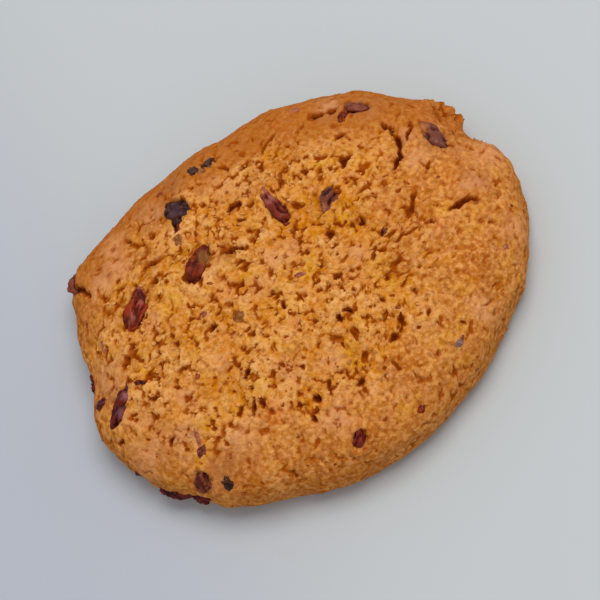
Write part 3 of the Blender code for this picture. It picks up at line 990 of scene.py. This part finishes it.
def drape_fleck(shape, wall, place, length, width, thickness, heading, seed):
    """Lays one wrinkled, irregular scrap over the surface, its edge sunk in; gives its points' heights."""
    outward = outward_at(place)
    turn = math.radians(heading)
    along = Vector((math.cos(turn), math.sin(turn), 0))
    along = (along - outward * along.dot(outward)).normalized()
    across = outward.cross(along)
    rounds = 4 if length > LONG_FLECK else 3
    scrap = bmesh.ops.create_icosphere(shape, subdivisions=rounds, radius=1)["verts"]
    heights = []
    for vertex in scrap:
        around = vertex.co.copy()
        lobes = noise.noise(around * 1.3 + Vector((seed, 0, 0)))
        nicks = noise.noise(around * 3 + Vector((0, seed, 0)))
        uneven = 1 + 0.5 * lobes + 0.3 * nicks
        flat = place + (along * around.x * length + across * around.y * width) * uneven / 2
        hit = wall.ray_cast(flat + outward * DRAPE_START * MM, -outward, DRAPE_REACH * MM)[0] or flat
        fold = noise.noise(flat / FLECK_FOLD_SPACING + Vector((seed, 0, 0)))
        fold = min(1, abs(fold) * FOLD_STEEPNESS)
        vertex.co = hit + outward * thickness * (around.z * (0.5 + 0.6 * fold) - FLECK_SINK)
        heights.append(fold)
    return heights


chance = random.Random(STREW_SEED)
wall_points = [vertex.co for vertex in dough.data.vertices]
dough_wall = BVHTree.FromPolygons(wall_points, [face.vertices for face in dough.data.polygons])
raisin_lies = [lie_of(node) for node in RAISIN_KINDS]
fleck_shapes = {kind: (bmesh.new(), []) for kind in RAISIN_SKINS}
for fleck_seed, (fleck_place, *fleck_sizes, fleck_heading, fleck_kind) in enumerate(FLECKS):
    fleck_shape, fleck_heights = fleck_shapes[fleck_kind]
    nearest = dough_wall.find_nearest(Vector(fleck_place) * MM)[0]
    fleck_sizes = [size * MM for size in fleck_sizes]
    fleck_heights += drape_fleck(fleck_shape, dough_wall, nearest, *fleck_sizes, fleck_heading, fleck_seed)
for fleck_seed in range(FIRST_STREWN_SEED, FIRST_STREWN_SEED + STREWN_FLECKS):
    fleck_place = dough_point(chance.uniform(-math.pi, math.pi), math.sqrt(chance.uniform(0.02, 0.85)))
    nearest = dough_wall.find_nearest(fleck_place)[0]
    fleck_length = chance.uniform(*STREWN_FLECK_LENGTHS) * MM
    fleck_width = fleck_length * chance.uniform(0.5, 0.9)
    fleck_heading = chance.uniform(0, 180)
    fleck_shape, fleck_heights = fleck_shapes[chance.choice(("speck", "speck", "tan"))]
    if min(raisin_distance(nearest, lie) for lie in raisin_lies) < STREWN_FLECK_ROOM:
        continue
    fleck_sizes = (fleck_length, fleck_width, STREWN_FLECK_THICKNESS)
    fleck_heights += drape_fleck(fleck_shape, dough_wall, nearest, *fleck_sizes, fleck_heading, fleck_seed)
for fleck_kind, (fleck_shape, fleck_heights) in fleck_shapes.items():
    if not fleck_heights:
        continue
    fleck_piece = new_piece(fleck_kind + "_flecks", fleck_shape, raisin_finishes[fleck_kind])
    add_marks(fleck_piece.data, "height", fleck_heights)

# ---------------------------------------------------------------------------------------------
# The loose grain. Coarse grains of the same dough that stand on the open crumb of the middle, half
# sunk in it and baked on. They are made in batches, because a large mesh grows slowly.

GRAIN_BATCHES = 12
GRAINS_IN_BATCH = 30
LOOSE_GRAIN_SIZES = (0.14, 0.36)
LOOSE_GRAIN_SINK = 0.15
LOOSE_GRAIN_ROOM = 0.1 * MM
LOOSE_GRAIN_RAG = 0.9
LOOSE_GRAIN_RAG_SIZE = 0.4 * MM


def strew_grains(shape):
    """One batch of grains, each in a place where the crumb is open and there is no raisin and no pit."""
    count = 0
    while count < GRAINS_IN_BATCH:
        angle = chance.uniform(-math.pi, math.pi)
        place = dough_point(angle, math.sqrt(chance.uniform(0.0, 0.42)))
        hit, normal, _, _ = dough_wall.find_nearest(place)
        likely = 2.5 * crumb_share(hit, broken_corner) - 1.6
        if chance.random() > likely:
            continue
        if min(raisin_distance(hit, lie) for lie in raisin_lies) < LOOSE_GRAIN_ROOM:
            continue
        if pit_depth(hit) > LOOSE_GRAIN_ROOM:
            continue
        size = chance.uniform(*LOOSE_GRAIN_SIZES) * MM
        turn = Matrix.Rotation(chance.uniform(0, 6), 4, Vector((chance.random(), chance.random(), 1)))
        stretch = Matrix.Diagonal((chance.uniform(0.8, 1.5), 1, chance.uniform(0.5, 0.9), 1))
        lie = Matrix.Translation(hit - normal * size * LOOSE_GRAIN_SINK) @ turn @ stretch
        grain = bmesh.ops.create_icosphere(shape, subdivisions=2, radius=size, matrix=lie)["verts"]
        for vertex in grain:
            ragged = 1 + LOOSE_GRAIN_RAG * noise.noise(vertex.co / LOOSE_GRAIN_RAG_SIZE)
            vertex.co = hit + (vertex.co - hit) * ragged
        count += 1


grain_shape = bmesh.new()
for _ in range(GRAIN_BATCHES):
    batch_shape = bmesh.new()
    strew_grains(batch_shape)
    batch_mesh = bpy.data.meshes.new("grains")
    batch_shape.to_mesh(batch_mesh)
    batch_shape.free()
    grain_shape.from_mesh(batch_mesh)
    bpy.data.meshes.remove(batch_mesh)
loose_grain = new_piece("loose_grain", grain_shape, baked_dough)
for mark_name, mark_value in {"painted_crevice_shade": 0.0, "crumb": 1.0, "painted_relief_shade": 0.5, "toast": 0.0}.items():
    add_marks(loose_grain.data, mark_name, [mark_value] * len(loose_grain.data.vertices))

# ---------------------------------------------------------------------------------------------
# The stage: a pale table with painted shade towards -X, soft light from the far right, and the camera at the
# photograph's angle, which looks down on the cookie from its near side and sees its long axis rise to the
# right.

# The table lies a hair below the cookie, and its colour has painted shade that grows darker towards -X
TABLE_REACH = 2
TABLE_TOP = -0.05 * MM
TABLE_PAINTED_SHADE_ACROSS = (2 * MM, 52 * MM)
TABLE_LIGHT = (186, 191, 193)
TABLE_SHADED = (173, 178, 189)

CAMERA_ELEVATION = 67
CAMERA_ROLL = 33
CAMERA_DISTANCE = 0.45
VIEW_WIDTH = 84.9 * MM
AIM = Vector((-0.71 * MM, -1.07 * MM, 7.30 * MM))
SENSOR = 36.0
CLIP_START = 10 * MM

KEY_DIRECTION = 25
KEY_ELEVATION = 74
KEY_DISTANCE = 0.7
KEY_SIZE = 0.45
KEY_POWER = 2.75
KEY_COLOUR = (1.0, 0.985, 0.96)
SKY_COLOUR = (0.95, 0.96, 0.98, 1.0)
SKY_STRENGTH = 0.61

table_shape = bmesh.new()
bmesh.ops.create_grid(table_shape, x_segments=1, y_segments=1, size=TABLE_REACH)
bmesh.ops.translate(table_shape, vec=(0, 0, TABLE_TOP), verts=table_shape.verts)
table_mesh = bpy.data.meshes.new("table")
table_shape.to_mesh(table_mesh)
table_shape.free()
table_finish = Finish("pale_table")
# Painted shade: the table darkens towards -X
table_painted_shade = table_finish.rise(table_finish.across(), *TABLE_PAINTED_SHADE_ACROSS)
table_colour = table_finish.blend(table_painted_shade, eye_colour(*TABLE_LIGHT), eye_colour(*TABLE_SHADED))
table_finish.paint("Base Color", table_colour)
table_finish.paint("Roughness", 0.6)
table_mesh.materials.append(table_finish.material)
table = bpy.data.objects.new("table", table_mesh)
bpy.context.scene.collection.objects.link(table)


def direction(azimuth, elevation):
    """A unit vector towards a place round the cookie, azimuth from +X, both in degrees."""
    turn, rise = math.radians(azimuth), math.radians(elevation)
    return Vector((math.cos(turn) * math.cos(rise), math.sin(turn) * math.cos(rise), math.sin(rise)))


key_light = bpy.data.lights.new("key", "AREA")
key_light.shape = "DISK"
key_light.size = KEY_SIZE
key_light.energy = KEY_POWER
key_light.color = KEY_COLOUR
key = bpy.data.objects.new("key", key_light)
key.location = direction(KEY_DIRECTION, KEY_ELEVATION) * KEY_DISTANCE
key.rotation_euler = direction(KEY_DIRECTION, KEY_ELEVATION).to_track_quat("Z", "Y").to_euler()
bpy.context.scene.collection.objects.link(key)

sky = bpy.data.worlds.new("sky")
sky.use_nodes = True
sky.node_tree.nodes["Background"].inputs["Color"].default_value = SKY_COLOUR
sky.node_tree.nodes["Background"].inputs["Strength"].default_value = SKY_STRENGTH
bpy.context.scene.world = sky
bpy.context.scene.view_settings.view_transform = "Standard"

camera_data = bpy.data.cameras.new("camera")
camera_data.sensor_width = SENSOR
camera_data.lens = SENSOR * CAMERA_DISTANCE / VIEW_WIDTH
camera_data.clip_start = CLIP_START
camera = bpy.data.objects.new("camera", camera_data)
towards_camera = direction(-90, CAMERA_ELEVATION)
level_up = direction(90, 90 - CAMERA_ELEVATION)
roll = math.radians(CAMERA_ROLL)
picture_right = Vector((1, 0, 0)) * math.cos(roll) - level_up * math.sin(roll)
picture_up = Vector((1, 0, 0)) * math.sin(roll) + level_up * math.cos(roll)
camera_turn = Matrix((picture_right, picture_up, towards_camera)).transposed()
camera.matrix_world = Matrix.Translation(AIM + towards_camera * CAMERA_DISTANCE) @ camera_turn.to_4x4()
bpy.context.scene.collection.objects.link(camera)
bpy.context.scene.camera = camera
